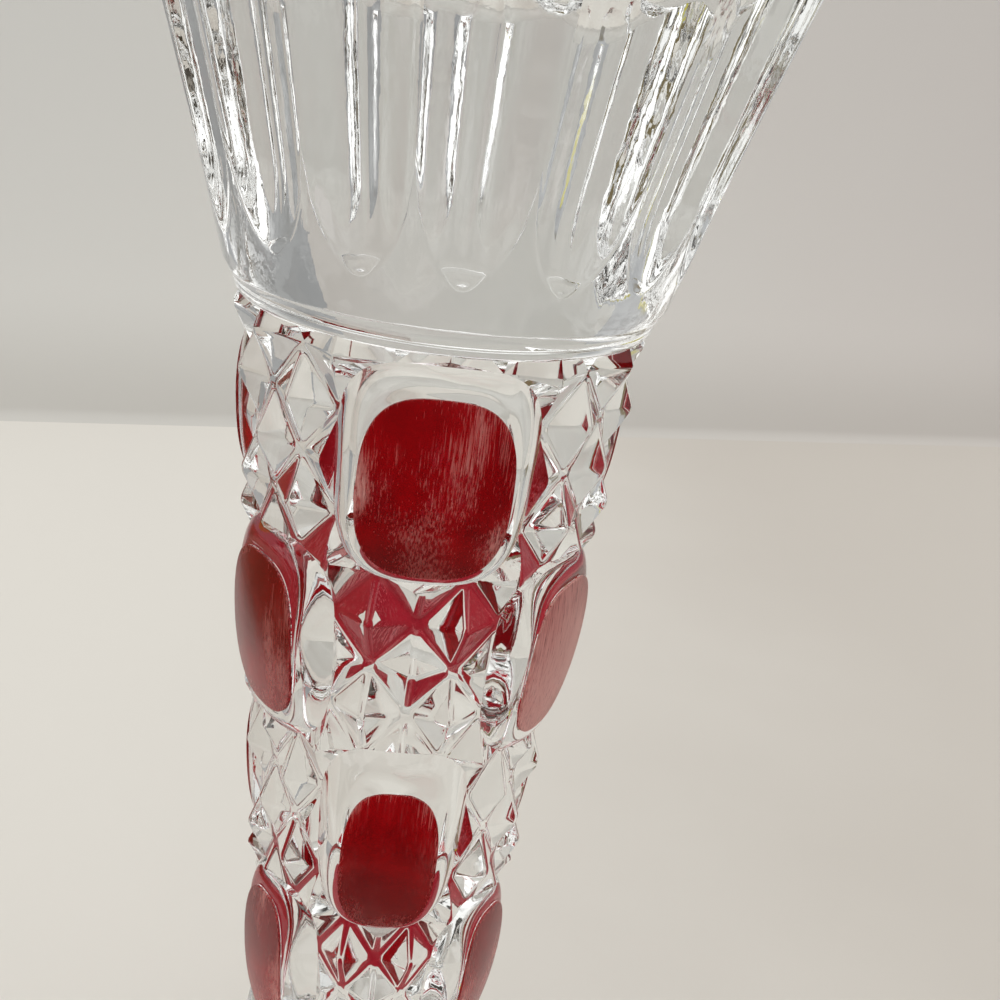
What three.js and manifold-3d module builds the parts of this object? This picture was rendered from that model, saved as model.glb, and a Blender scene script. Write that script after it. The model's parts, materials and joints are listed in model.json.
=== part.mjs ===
// Crystal bud vase: a flared, fluted bowl on a slim tapering stem cut with small diamonds and
// raised medallions, each medallion capped with a thin layer of ruby glass, on a fluted foot.
// Millimetres, +Z up. The vase stands on z = 0, its axis is x = y = 0, and the middle of the
// first medallion faces -Y. Azimuths are measured from -Y towards +X.
import * as THREE from "three";
import Module from "manifold-3d";

// Foot
const footRadius = 31.5;
const footHeight = 26;
const footRimHeight = 3.6;
const footEdgeRound = 1.2;
const footRestWidth = 9;
const footHollowHeight = 2.6;
const footFluteDepth = 1.3;
const footFluteTop = 0.12;
const footFluteTopRise = 0.1;
const footFluteRunIn = 0.2;
const footSkirtSpread = 2;
const footSkirtLift = 5;
const neckOverhang = 2.8;
const neckBand = 2.6;
const neckRound = 0.8;
const footFluteSteps = 4;
const footSkirtSteps = 5;

// Stem
const rowCount = 4;
const rowPitch = 24.3;
const stemTopMargin = 2.0;
const stemTopRadius = 22.3;
const stemBottomRadius = 13.2;
const halfStepsAround = 24;
const halfStepsPerRow = 4;
const diamondHeight = 2.4;

// Medallions
const medallionsPerRow = 3;
const medallionHalfAngle = THREE.MathUtils.degToRad(31.5);
const medallionOverrun = 0.85;
const medallionSquareness = 3.4;
const medallionRise = 2.4;
const medallionDomeAcross = 34;
const medallionDomeUp = 60;
const medallionLip = 0.25;
const flankBulge = 0.6;
const medallionRoot = 3.0;
const medallionPoints = 24;
const domeRingAt = 0.55;

// Ruby layers
const rubyThickness = 0.3;
const rubyClearance = 0.1;
const rubySquareness = 2.9;
const clearBorderSideByRow = [2.35, 2.35, 2.75, 2.35];
const clearBorderEndsByRow = [2.25, 3.0, 2.8, 2.8];
const rubyDropByRow = [1.1, 0.4, 2.2, 0];

// Bowl
const bowlHeight = 64.8;
const mouthRadius = 46;
const collarOverhang = 2.7;
const collarRound = 2.4;
const shoulderHeight = 4.6;
const shoulderOut = 1.4;
const bowlBelly = 0.44;
const fluteCount = 16;
const fluteStart = 7.8;
const fluteEndRise = 7;
const fluteRunIn = 3.5;
const fluteDepthRatio = 0.2;
const scallopDepth = 2.0;
const bowlFluteSteps = 6;
const bowlRows = 7;
const bowlRowCrowding = 1.4;
const collarRoundSteps = 2;

// Hollow
const bowlWall = 5.5;
const cupFloorAboveCollar = 37;
const cupFlat = 20;
const cupSideLow = 46;
const cupSideTop = 56;
const cupSideDraw = 3;
const cupSteps = 10;
const hollowWallSteps = 3;
const hollowStepsAround = 48;
const cutPast = 1;

// Neighbouring faces that are flat to within this are joined into one.
const flatness = 0.02;

const stemLength = rowCount * rowPitch + stemTopMargin;
const collarZ = footHeight + stemLength;
const vaseHeight = collarZ + bowlHeight;
const halfStep = rowPitch / halfStepsPerRow;
const halfTurn = (2 * Math.PI) / halfStepsAround;
const stemTaper = (stemTopRadius - stemBottomRadius) / stemLength;
const collarRadius = stemTopRadius + collarOverhang;
const shoulderRadius = collarRadius + shoulderOut;
const neckRadius = stemBottomRadius + neckOverhang;
const medallionHalfHeight = rowPitch / 2 + medallionOverrun;
const cupFloor = collarZ + cupFloorAboveCollar;

const wasm = await Module();
wasm.setup();

// Radius of the bottoms of the cut grooves at a height.
function grooveRadius(z) {
  return stemBottomRadius + stemTaper * (z - footHeight);
}

function onCylinder(azimuth, radius, z) {
  return new THREE.Vector3(radius * Math.sin(azimuth), -radius * Math.cos(azimuth), z);
}

// A closed body through rings of points, with its first and last ring closed onto a point each.
// flip(column, row) chooses the other diagonal for that square of the skin.
function loft(rings, firstPoint, lastPoint, flip = () => false) {
  const count = rings[0].length;
  const points = rings.flat();
  const faces = [];
  const first = points.push(firstPoint) - 1;
  const last = points.push(lastPoint) - 1;
  for (let row = 0; row + 1 < rings.length; row++) {
    for (let column = 0; column < count; column++) {
      const next = (column + 1) % count;
      const a = row * count + column;
      const b = row * count + next;
      const c = (row + 1) * count + next;
      const d = (row + 1) * count + column;
      if (flip(column, row)) faces.push(a, b, d, b, c, d);
      else faces.push(a, b, c, a, c, d);
    }
  }
  const top = (rings.length - 1) * count;
  for (let column = 0; column < count; column++) {
    const next = (column + 1) % count;
    faces.push(first, next, column);
    faces.push(last, top + column, top + next);
  }
  const vertProperties = new Float32Array(points.flatMap((p) => [p.x, p.y, p.z]));
  return new wasm.Manifold(new wasm.Mesh({
    numProp: 3,
    vertProperties,
    triVerts: new Uint32Array(faces),
  }));
}

function toGeometry(solid) {
  const mesh = solid.getMesh();
  const geometry = new THREE.BufferGeometry();
  geometry.setAttribute("position", new THREE.BufferAttribute(mesh.vertProperties, 3));
  geometry.setIndex(new THREE.BufferAttribute(mesh.triVerts, 1));
  geometry.computeVertexNormals();
  return geometry;
}

// A rounded square (a superellipse) as [across, up] pairs, counter-clockwise.
function cushion(halfWidth, halfHeight, squareness) {
  return Array.from({ length: medallionPoints }, (_, k) => {
    const turn = (2 * Math.PI * (k + 0.5)) / medallionPoints;
    const across = Math.sign(Math.cos(turn)) * Math.abs(Math.cos(turn)) ** (2 / squareness);
    const up = Math.sign(Math.sin(turn)) * Math.abs(Math.sin(turn)) ** (2 / squareness);
    return [halfWidth * across, halfHeight * up];
  });
}

// Stem: two crossing families of spiral grooves leave four-sided diamonds between them.
function diamondStem() {
  const lastLevel = rowCount * halfStepsPerRow + 1;
  const rings = [];
  for (let level = -1; level <= lastLevel; level++) {
    const z = footHeight + level * halfStep;
    rings.push(Array.from({ length: halfStepsAround }, (_, k) => {
      const isTip = (k + level) % 2 === 0;
      return onCylinder(k * halfTurn, grooveRadius(z) + (isTip ? diamondHeight : 0), z);
    }));
  }
  const bottom = new THREE.Vector3(0, 0, footHeight - halfStep);
  const top = new THREE.Vector3(0, 0, footHeight + lastLevel * halfStep);
  return loft(rings, bottom, top, (column, row) => (column + row) % 2 === 1);
}

// Medallions: a place on the stem with its own directions across, up and outwards.
function medallionPlaces() {
  const places = [];
  for (let row = 0; row < rowCount; row++) {
    const z = collarZ - stemTopMargin - (row + 0.5) * rowPitch;
    const drop = rubyDropByRow[row] ?? 0;
    const borderSide = clearBorderSideByRow[row] ?? clearBorderSideByRow[0];
    const borderEnds = clearBorderEndsByRow[row] ?? clearBorderEndsByRow[0];
    for (let k = 0; k < medallionsPerRow; k++) {
      const azimuth = ((2 * k + (row % 2)) * Math.PI) / medallionsPerRow;
      const name = `ruby_layer_${row + 1}${String.fromCharCode(97 + k)}`;
      places.push({ azimuth, z, name, drop, borderSide, borderEnds });
    }
  }
  return places;
}

// A point near a medallion: across and up in its own plane, and out along its normal.
function onMedallion(place, across, up, out) {
  const lean = Math.atan(stemTaper);
  const radius = grooveRadius(place.z) + medallionRise;
  const outward = radius + up * Math.sin(lean) + out * Math.cos(lean);
  const z = place.z + up * Math.cos(lean) - out * Math.sin(lean);
  const ahead = onCylinder(place.azimuth, outward, z);
  ahead.x += across * Math.cos(place.azimuth);
  ahead.y += across * Math.sin(place.azimuth);
  return ahead;
}

function domeDrop(across, up) {
  return across ** 2 / (2 * medallionDomeAcross) + up ** 2 / (2 * medallionDomeUp);
}

// Ring of the ruby area, shrunk towards its middle by `scale` and raised by `lift`.
function rubyRing(place, scale, lift) {
  const halfWidth = grooveRadius(place.z) * Math.sin(medallionHalfAngle) - place.borderSide;
  const halfHeight = medallionHalfHeight - place.borderEnds;
  return cushion(halfWidth * scale, halfHeight * scale, rubySquareness).map(([across, fromMiddle]) => {
    const up = fromMiddle - place.drop;
    return onMedallion(place, across, up, lift - domeDrop(across, up));
  });
}

function rubyMiddle(place, lift) {
  return onMedallion(place, 0, -place.drop, lift - domeDrop(0, place.drop));
}

// Ring of the medallion's outline, `above` the bottoms of the grooves.
function outlineRing(place, above) {
  const outline = cushion(medallionHalfAngle, medallionHalfHeight, medallionSquareness);
  return outline.map(([turn, up]) => {
    const z = place.z + up;
    return onCylinder(place.azimuth + turn, grooveRadius(z) + above, z);
  });
}

// Ring part of the way up the flank, pushed out a little so that the flank is rounded.
function flankRing(place) {
  const high = rubyRing(place, 1, 0);
  return outlineRing(place, medallionLip).map((low, k) => {
    const between = low.lerp(high[k], 0.5);
    const radius = Math.hypot(between.x, between.y);
    const outwards = (radius + flankBulge) / radius;
    return new THREE.Vector3(between.x * outwards, between.y * outwards, between.z);
  });
}

function medallionBody(place) {
  const rings = [
    outlineRing(place, -medallionRoot),
    outlineRing(place, medallionLip),
    flankRing(place),
    rubyRing(place, 1, 0),
    rubyRing(place, domeRingAt, 0),
  ];
  const root = onCylinder(place.azimuth, grooveRadius(place.z) - medallionRoot, place.z);
  return loft(rings, root, rubyMiddle(place, 0));
}

// Everything above a medallion's surface, taken off the diamonds before it is put in place.
function medallionClearing(place) {
  const clear = 2 * (diamondHeight + medallionRise);
  const rings = [
    rubyRing(place, domeRingAt, 0),
    rubyRing(place, 1, 0),
    flankRing(place),
    outlineRing(place, medallionLip),
    outlineRing(place, clear),
  ];
  const far = onCylinder(place.azimuth, grooveRadius(place.z) + clear, place.z);
  return loft(rings, rubyMiddle(place, 0), far);
}

function rubyLayer(place) {
  const under = rubyClearance;
  const over = rubyClearance + rubyThickness;
  const rings = [
    rubyRing(place, domeRingAt, under),
    rubyRing(place, 1, under),
    rubyRing(place, 1, over),
    rubyRing(place, domeRingAt, over),
  ];
  return loft(rings, rubyMiddle(place, under), rubyMiddle(place, over));
}

// Flutes: a ring with `steps` points to each flute. place(across) gives a point's radius and
// height, where across runs from -1 at one ridge to 1 at the next.
function flutedRing(steps, place) {
  return Array.from({ length: fluteCount * steps }, (_, k) => {
    const across = (2 * (k % steps)) / steps - 1;
    const azimuth = ((k / steps - 0.5) * 2 * Math.PI) / fluteCount;
    const [radius, z] = place(across);
    return onCylinder(azimuth, radius, z);
  });
}

function plainRing(steps, radius, z) {
  return flutedRing(steps, () => [radius, z]);
}

// How far the round end of a flute lies from its own lowest point.
function endArc(across) {
  return 1 - Math.sqrt(Math.max(0, 1 - across ** 2));
}

// Radius of the ridges between the bowl's flutes at a height: a gentle outward curve.
function bowlWallRadius(z) {
  const share = (z - collarZ - shoulderHeight) / (bowlHeight - shoulderHeight);
  const t = THREE.MathUtils.clamp(share, 0, 1);
  const middle = THREE.MathUtils.lerp(shoulderRadius, mouthRadius, bowlBelly);
  return (1 - t) ** 2 * shoulderRadius + 2 * t * (1 - t) * middle + t ** 2 * mouthRadius;
}

function bowlOutside() {
  const rings = [];
  const corner = collarRadius - collarRound;
  for (let k = 0; k <= collarRoundSteps; k++) {
    const turn = (k / collarRoundSteps) * (Math.PI / 2);
    const radius = corner + collarRound * Math.sin(turn);
    const z = collarZ + collarRound * (1 - Math.cos(turn));
    rings.push(plainRing(bowlFluteSteps, radius, z));
  }
  rings.push(plainRing(bowlFluteSteps, shoulderRadius, collarZ + shoulderHeight));
  for (let row = 0; row <= bowlRows; row++) {
    rings.push(flutedRing(bowlFluteSteps, (across) => {
      const low = collarZ + fluteStart + fluteEndRise * endArc(across);
      const high = vaseHeight - scallopDepth * across ** 2;
      const z = THREE.MathUtils.lerp(low, high, (row / bowlRows) ** bowlRowCrowding);
      const ridge = bowlWallRadius(z);
      const full = fluteDepthRatio * ridge * ((2 * Math.PI) / fluteCount);
      const runIn = 1 - Math.exp(-(z - low) / fluteRunIn);
      return [ridge - full * runIn * (1 - across ** 2), z];
    }));
  }
  const bottom = new THREE.Vector3(0, 0, collarZ);
  const top = new THREE.Vector3(0, 0, vaseHeight);
  return loft(rings, bottom, top);
}

// Inside of the vase: a rounded cup in the upper part of the bowl. Below it the glass is solid.
function hollow() {
  const innerRadius = (z) => bowlWallRadius(z) - bowlWall;
  const sideTop = collarZ + cupSideTop;
  const cup = new THREE.CubicBezierCurve(
    new THREE.Vector2(0, cupFloor),
    new THREE.Vector2(cupFlat, cupFloor),
    new THREE.Vector2(innerRadius(sideTop) - cupSideDraw, collarZ + cupSideLow),
    new THREE.Vector2(innerRadius(sideTop), sideTop),
  );
  const profile = cup.getPoints(cupSteps).slice(1);
  for (let k = 1; k <= hollowWallSteps; k++) {
    const z = THREE.MathUtils.lerp(sideTop, vaseHeight, k / hollowWallSteps);
    profile.push(new THREE.Vector2(innerRadius(z), z));
  }
  profile.push(new THREE.Vector2(innerRadius(vaseHeight), vaseHeight + cutPast));
  const rings = profile.map(({ x, y }) =>
    Array.from({ length: hollowStepsAround }, (_, k) =>
      onCylinder((2 * Math.PI * k) / hollowStepsAround, x, y)));
  const floor = new THREE.Vector3(0, 0, cupFloor);
  const above = new THREE.Vector3(0, 0, vaseHeight + cutPast);
  return loft(rings, floor, above);
}

// Foot: a hollow-curved skirt from the neck band out to the rim, scooped by the same flutes.
function footOutside() {
  const skirt = new THREE.QuadraticBezierCurve(
    new THREE.Vector2(neckRadius, footHeight - neckBand),
    new THREE.Vector2(neckRadius + footSkirtSpread, footRimHeight + footSkirtLift),
    new THREE.Vector2(footRadius, footRimHeight),
  );
  const restOuter = footRadius - footFluteDepth - footEdgeRound;
  const rings = [plainRing(footFluteSteps, restOuter - footRestWidth, 0)];
  const scalloped = (radius, z) => flutedRing(footFluteSteps, (across) =>
    [radius - footFluteDepth * (1 - across ** 2), z]);
  rings.push(scalloped(footRadius - footEdgeRound, 0));
  rings.push(scalloped(footRadius, footEdgeRound));
  for (let row = 0; row <= footSkirtSteps; row++) {
    rings.push(flutedRing(footFluteSteps, (across) => {
      const endsAt = footFluteTop + footFluteTopRise * endArc(across);
      const t = THREE.MathUtils.lerp(1, endsAt, row / footSkirtSteps);
      const on = skirt.getPoint(t);
      const tangent = skirt.getTangent(t);
      const runIn = 1 - Math.exp(-(t - endsAt) / footFluteRunIn);
      const dent = footFluteDepth * runIn * (1 - across ** 2);
      return [on.x + dent * tangent.y, on.y - dent * tangent.x];
    }));
  }
  rings.push(plainRing(footFluteSteps, neckRadius, footHeight - neckRound));
  rings.push(plainRing(footFluteSteps, neckRadius - neckRound, footHeight));
  const under = new THREE.Vector3(0, 0, footHollowHeight);
  const top = new THREE.Vector3(0, 0, footHeight);
  return loft(rings, under, top);
}

const clearGlass = new THREE.MeshStandardMaterial({ color: 0xdfe6e6, roughness: 0.05 });
const rubyGlass = new THREE.MeshStandardMaterial({ color: 0x8e0414, roughness: 0.08 });
const vase = new THREE.Group();
vase.name = "crystal_bud_vase";

function addPiece(name, solid, material) {
  const mesh = new THREE.Mesh(toGeometry(solid), material.clone());
  mesh.name = name;
  vase.add(mesh);
}

const places = medallionPlaces();
let body = diamondStem();
for (const place of places) body = body.subtract(medallionClearing(place));
for (const place of places) body = body.add(medallionBody(place));
body = body.add(bowlOutside()).add(footOutside()).subtract(hollow());
addPiece("crystal_body", body.asOriginal().simplify(flatness), clearGlass);

for (const place of places) addPiece(place.name, rubyLayer(place), rubyGlass);

export default vase;
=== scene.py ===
import json
import math
import random

import bmesh
import bpy
from mathutils import Matrix, Vector

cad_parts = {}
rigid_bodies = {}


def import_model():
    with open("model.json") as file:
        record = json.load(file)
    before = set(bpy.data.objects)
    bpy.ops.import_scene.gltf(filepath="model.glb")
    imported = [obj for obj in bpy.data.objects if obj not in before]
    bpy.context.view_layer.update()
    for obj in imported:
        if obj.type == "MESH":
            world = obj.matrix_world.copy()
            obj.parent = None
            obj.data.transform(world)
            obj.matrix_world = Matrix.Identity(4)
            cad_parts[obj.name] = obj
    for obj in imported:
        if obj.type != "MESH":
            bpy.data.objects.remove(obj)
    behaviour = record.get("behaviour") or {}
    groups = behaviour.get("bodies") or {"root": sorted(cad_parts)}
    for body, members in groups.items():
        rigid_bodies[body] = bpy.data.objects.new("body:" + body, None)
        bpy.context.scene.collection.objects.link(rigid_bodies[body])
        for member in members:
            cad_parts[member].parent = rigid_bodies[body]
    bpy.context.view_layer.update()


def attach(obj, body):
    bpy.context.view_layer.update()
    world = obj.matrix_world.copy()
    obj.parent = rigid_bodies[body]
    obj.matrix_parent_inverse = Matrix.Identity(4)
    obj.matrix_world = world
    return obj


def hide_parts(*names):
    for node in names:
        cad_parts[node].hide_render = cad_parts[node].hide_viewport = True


bl_info = {
    "name": "Crystal Bud Vase",
    "version": (1, 0, 0),
    "blender": (4, 5, 0),
    "location": "View3D > Sidebar > Bud Vase",
    "description": "Builds a cut crystal bud vase with ruby-flashed medallions and a studio to see it in",
    "category": "Add Mesh",
}

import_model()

MM = 0.001
BODY = "root"

# Points closer together than this are one point.
MERGE = 0.5e-6

# A quarter round is made in this many straight steps.
ROUND_STEPS = 6

# Foot: fine shape that stays the same whatever the sizes
FOOT_EDGE_ROUND = 1.2 * MM
FOOT_SKIRT_SPREAD = 2 * MM
FOOT_SKIRT_LIFT = 5 * MM
FOOT_FLUTE_TOP = 0.12
FOOT_FLUTE_TOP_RISE = 0.1
FOOT_FLUTE_RUN_IN = 0.2
FOOT_STEPS_PER_FLUTE = 12
FOOT_ROWS = 24
FOOT_HOLLOW_STEPS = 8
NECK_OVERHANG = 2.8 * MM
NECK_BAND = 2.6 * MM
NECK_ROUND = 0.8 * MM
NECK_STEPS = 4

# Stem
HALF_STEPS_AROUND = 24
HALF_STEPS_PER_ROW = 4
TIP_UNEVENNESS = 0.10 * MM
TIP_SEED = 4

# A corner this near to the groove bottoms, as a share of the diamonds' height, is where grooves cross.
CROSSING_SHARE = 0.2

# Grooves and ridges are rounded with a bevel: grooves fully, ridges by a share.
RIDGE_SHARE = 0.5
BEVEL_STEPS = 3

# Medallions
MEDALLION_SQUARENESS = 3.4
MEDALLION_LIP = 0.25 * MM
MEDALLION_ROOT = 3.0 * MM
MEDALLION_COLUMNS = 96
FLANK_BULGE = 0.6 * MM
FLANK_ROWS = 7
DOME_ROWS = 9
CLEARING_SKIN = 0.05 * MM
CLEARING_INSET = 0.1 * MM
CLEARING_DRAFT = 0.55

# Ruby layers
RUBY_SQUARENESS = 2.9

# Bowl
COLLAR_ROUND = 2.4 * MM
SHOULDER_HEIGHT = 4.6 * MM
SHOULDER_OUT = 1.4 * MM
SEAM_HEIGHT = 3.3 * MM
SEAM_WIDTH = 0.25 * MM
SEAM_STANDS = 0.06 * MM
BOWL_BELLY = 0.44
BOWL_STEPS_PER_FLUTE = 20
BOWL_ROWS = 44
BOWL_ROW_CROWDING = 1.4
RIDGE_SOFTNESS = 0.14
LIP_ROUND = 1.3 * MM
LIP_STEPS = 5

# Hollow
CUP_FLAT = 20 * MM
CUP_SIDE_START = 56 * MM
CUP_SIDE_LOW = 46 * MM
CUP_SIDE_DRAW = 3 * MM
CUP_ROWS = 24
HOLLOW_WALL_ROWS = 10
FLARE_STEPS = 5
FLARE_DEGREES = 14
CUT_PAST_OUT = 0.7 * MM
CUT_PAST_UP = 0.3 * MM
CUT_PAST_TOP = 5 * MM

# Faces that meet at more than this angle keep a crisp edge.
CRISP_ANGLE = math.radians(24)

# Surface patterns: noise waves per metre, across, across and up where there are three
RIPPLE_WAVES = 190
PEEL_WAVES = 900
HAZE_WAVES = 60
SPECK_WAVES = 2400
SCRATCH_WAVES = (7000, 7000, 170)
SCRATCHED_AREAS = (160, 160, 90)
DRAWN_LINES = (620, 620, 16)
RUBBED_GRAIN = (4200, 4200, 240)
RUBY_CLOUDS = (260, 260, 90)
# Waves of the noise that wobbles the edge of the painted shade on the floor and backdrop
SHADE_EDGE_WAVES = 9.0

# Marks show where noise is over a limit, and more of them make the limit lower.
SCRATCH_LIMIT = 0.91
SCRATCH_FADE = 0.07
SPECK_LIMIT = 0.86
SPECK_LOWERING = 0.22
SPECK_FADE = 0.04

# Crystal: from these heights over the collar its ripples grow and drawn lines appear.
WAVES_FROM = 0.8 * MM
LINES_FROM = 4.8 * MM
GROW_OVER = 10 * MM
BOWL_WAVES = 1.8
BOWL_LINES = 0.7
CRYSTAL_MARKS = {"Scratches": 0.5, "Specks": 0.45}
MARK_ROUGHNESS = 0.10
HAZE_ROUGHNESS = 0.035
HAZE_COLOUR = (0.955, 0.965, 0.955)

# Wear of the ruby: how strong scratches and specks are where it is clean and where it is worn by so much,
# and where wear and its grain together make a rubbed patch
CLEAN_AND_WORN_SCRATCHES = (0.12, 0.5)
CLEAN_AND_WORN_SPECKS = (0.1, 0.4)
WORN_BY = 0.3
GRAIN_STRENGTH = 0.9
RUBBED_FROM = (0.86, 1.12)

# Ruby: it darkens in clouds, and wear makes it rough, pale and a little lower.
RUBY_MARKS = {"Scratches": 0.72, "Specks": 0.3}
RUBY_PEEL = 0.3
RUBY_SHADE = 0.72
RUBY_TRANSMISSION = 0.65
RUBY_SPECULAR = 0.15
CLEAN_ROUGHNESS = 0.24
WORN_ROUGHNESS = 0.5
WORN_SINKS = 0.12
WORN_DEPTH = (0.95, 0.72, 0.72)
BACKLIT_RUBY = (1.0, 0.5, 0.62)

# Rubbed patches of the ruby layers that the camera sees. Each has a place across and up, from -1 to 1 over
# the layer, a half width, a half height and a strength.
WORN_PATCHES = {
    "1a": [
        (-0.95, -0.05, 0.22, 0.75, 0.62),
        (-0.55, 0.42, 0.28, 0.3, 0.42),
        (-0.62, 0.05, 0.2, 0.3, 0.45),
        (0.86, -0.55, 0.26, 0.5, 0.56),
        (0.1, -1.06, 0.9, 0.12, 0.5),
        (0.3, 1.0, 0.6, 0.14, 0.4),
        (0.0, 0.0, 3.0, 3.0, 0.24),
    ],
    "2a": [
        (0.0, 0.0, 3.0, 3.0, 0.66),
        (0.6, -0.1, 0.6, 1.1, 0.85),
    ],
    "2c": [
        (0.45, 0.1, 0.12, 0.8, 0.5),
        (0.85, -0.2, 0.2, 0.5, 0.5),
        (0.1, -0.95, 0.6, 0.15, 0.5),
    ],
    "3a": [
        (0.75, 0.85, 0.3, 0.25, 0.5),
        (0.4, -0.95, 0.5, 0.14, 0.55),
        (-0.7, -0.8, 0.25, 0.2, 0.4),
    ],
}
PATCHES_ELSEWHERE = 5
PATCH_REACH = (0.75, 1.0)
PATCH_SIZE = (0.15, 0.4)
PATCH_STRENGTH = (0.3, 0.6)
PATCH_STRETCH = 1.4
WORN_EDGE = 0.42
WORN_EDGE_START = 0.93

# Backdrop: where its edges lie, seen from the axis, and the round at its fold
FLOOR_FRONT = 36 * MM
LEFT_SIDE = -120 * MM
RIGHT_SIDE = 395 * MM
WALL_HEIGHT = 1.1
FOLD_ROUND = 4 * MM
FOLD_STEPS = 8
FLOOR_DROP = 0.1 * MM

# Paint of the backdrop, with painted shade and a painted shadow: how much of each colour is left in the
# painted shade on its right, between which two places that painted shade comes in, and how much its foot
# takes of the painted shadow's colour
# How far that noise moves the painted shade's edge, and the card's roughness
SHADE_EDGE_WOBBLE = 0.12
CARD_ROUGHNESS = 0.75
FLOOR_SHADED = (0.79, 0.765, 0.75)
FLOOR_SHADE_SPAN = (-0.06, 0.16)
WALL_SHADED = (0.95, 0.91, 0.91)
WALL_SHADE_SPAN = (-0.05, 0.30)
WALL_FOOT_SHADE = 0.4
FOOT_SHADOW = (0.38, 0.355, 0.32)
FOOT_SHADOW_HEIGHT = 45 * MM

# Room: the colours of what gives light. A table is dark under panels of light and pale under the dark.
PANEL_WAVES = (2.2, 2.2, 3.0)
PANEL_EDGE = (0.50, 0.53)
PALE_TABLE = (0.27, 0.245, 0.21)
DARK_TABLE = (0.04, 0.032, 0.025)
NEAR_TABLE = (0.03, 0.025, 0.02)
DARK_ROOM = (0.05, 0.045, 0.04)
PANEL_LIGHT = (0.90, 0.90, 0.88)
FAR_WALLS = (0.375, 0.38, 0.385)
LOW_LEFT = (0.15, 0.12, 0.06)
PLANT = (0.42, 0.37, 0.03)
PLANT_DIRECTION = (-0.771, 0.581, 0.259)
CEILING = (1.4, 1.4, 1.38)
SHOWN_ROOM = (0.70, 0.69, 0.67)

SENSOR_WIDTH = 36


def length(name, millimetres, description):
    return bpy.props.FloatProperty(
        name=name, description=description, default=millimetres * MM, min=0.0, unit="LENGTH", precision=4)


def share(name, value, description):
    return bpy.props.FloatProperty(
        name=name, description=description, default=value, min=0.0, max=1.0, subtype="FACTOR")


def plain(name, value, description):
    return bpy.props.FloatProperty(name=name, description=description, default=value)


def by_row(name, millimetres, description):
    return bpy.props.FloatVectorProperty(
        name=name, description=description + ", row by row", default=[value * MM for value in millimetres],
        size=len(millimetres), unit="LENGTH", precision=4)


def angle(name, degrees, description):
    return bpy.props.FloatProperty(
        name=name, description=description, default=math.radians(degrees), unit="ROTATION")


def count(name, value, description):
    return bpy.props.IntProperty(name=name, description=description, default=value, min=1)


def colour(name, value, description):
    return bpy.props.FloatVectorProperty(
        name=name, description=description, default=value, size=3, min=0.0, max=1.0, subtype="COLOR")


class VaseSizes(bpy.types.PropertyGroup):
    """Sizes of the vase."""

    foot_radius: length("Foot radius", 31.5, "From the axis to the foot's rim")
    foot_height: length("Foot height", 26, "From the table to the top of the neck")
    foot_rim_height: length("Rim height", 3.6, "Thickness of the foot at its rim")
    foot_rest_width: length("Rest width", 9, "Width of the flat ring that the vase stands on")
    foot_hollow: length("Underside hollow", 2.6, "How far the underside rises in its middle")
    foot_flute_depth: length("Foot flute depth", 1.3, "Depth of the flutes on the foot")
    row_count: count("Medallion rows", 4, "Rows of medallions down the stem")
    row_pitch: length("Row pitch", 24.3, "Height of one row of medallions")
    stem_top_margin: length("Top margin", 2.0, "Plain stem above the first row")
    stem_top_radius: length("Stem top radius", 22.3, "Radius of the groove bottoms below the bowl")
    stem_bottom_radius: length("Stem bottom radius", 13.2, "Radius of the groove bottoms above the foot")
    diamond_height: length("Diamond height", 2.75, "Height of the diamonds before their edges are rounded")
    groove_round: length("Groove width", 1.3, "Half width of the rounded groove bottoms")
    medallions_per_row: count("Medallions per row", 3, "Medallions round the stem in one row")
    medallion_half_angle: angle("Medallion half angle", 31.5, "Half of a medallion's width round the stem")
    medallion_overrun: length("Medallion overrun", 0.85, "How far a medallion runs into the next row")
    medallion_rise: length("Medallion rise", 2.4, "Height of a medallion over the groove bottoms")
    dome_across: length("Dome radius across", 34, "Radius of a medallion's domed face, side to side")
    dome_up: length("Dome radius upright", 60, "Radius of a medallion's domed face, top to bottom")
    ruby_thickness: length("Ruby thickness", 0.3, "Thickness of a ruby layer")
    ruby_clearance: length("Ruby clearance", 0.1, "Gap between a ruby layer and the crystal")
    ruby_side_border: by_row("Side border", (2.35, 2.35, 2.75, 2.35), "Clear glass beside a ruby layer")
    ruby_end_border: by_row("End border", (2.25, 3.0, 2.8, 2.8), "Clear glass above and below a ruby layer")
    ruby_drop: by_row("Ruby drop", (1.1, 0.4, 2.2, 0), "How far a ruby lies below its medallion's middle")
    bowl_height: length("Bowl height", 64.8, "From the collar to the rim")
    mouth_radius: length("Mouth radius", 46, "From the axis to the rim")
    bowl_wall: length("Bowl wall", 5.5, "Thickness of the bowl at its ridges")
    collar_overhang: length("Collar overhang", 2.7, "How far the bowl's collar stands out past the stem")
    flute_count: count("Flutes", 16, "Flutes round the bowl and the foot")
    flute_start: length("Flute start", 7.8, "Height over the collar where the flutes begin")
    flute_end: length("Flute end", 10.5, "Height of a flute's rounded end, over which it reaches its depth")
    flute_depth: share("Flute depth", 0.20, "Depth of a flute as a share of its width")
    scallop_depth: length("Scallop depth", 2.0, "How far the rim dips at the ridges")
    cup_floor: length("Cup floor", 37, "Solid glass between the collar and the cup's floor")


class GlassFinish(bpy.types.PropertyGroup):
    """Colours and wear of the glass."""

    crystal_colour: colour("Crystal", (0.985, 0.993, 0.988), "Tint of the clear crystal")
    crystal_ior: plain("Crystal IOR", 1.54, "Index of refraction of the crystal")
    ruby_colour: colour("Ruby", (0.42, 0.004, 0.010), "Colour of the ruby layer seen through")
    ruby_depth: colour("Ruby depth", (0.60, 0.02, 0.03), "Second filtering on the inside of the ruby")
    worn_colour: colour("Worn ruby", (0.98, 0.54, 0.48), "Ruby that is rubbed thin")
    ripple_height: length("Ripple height", 0.03, "Height of the ripples that pressing leaves in glass")
    wear: share("Wear", 1.0, "How worn the ruby layers are")


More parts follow.
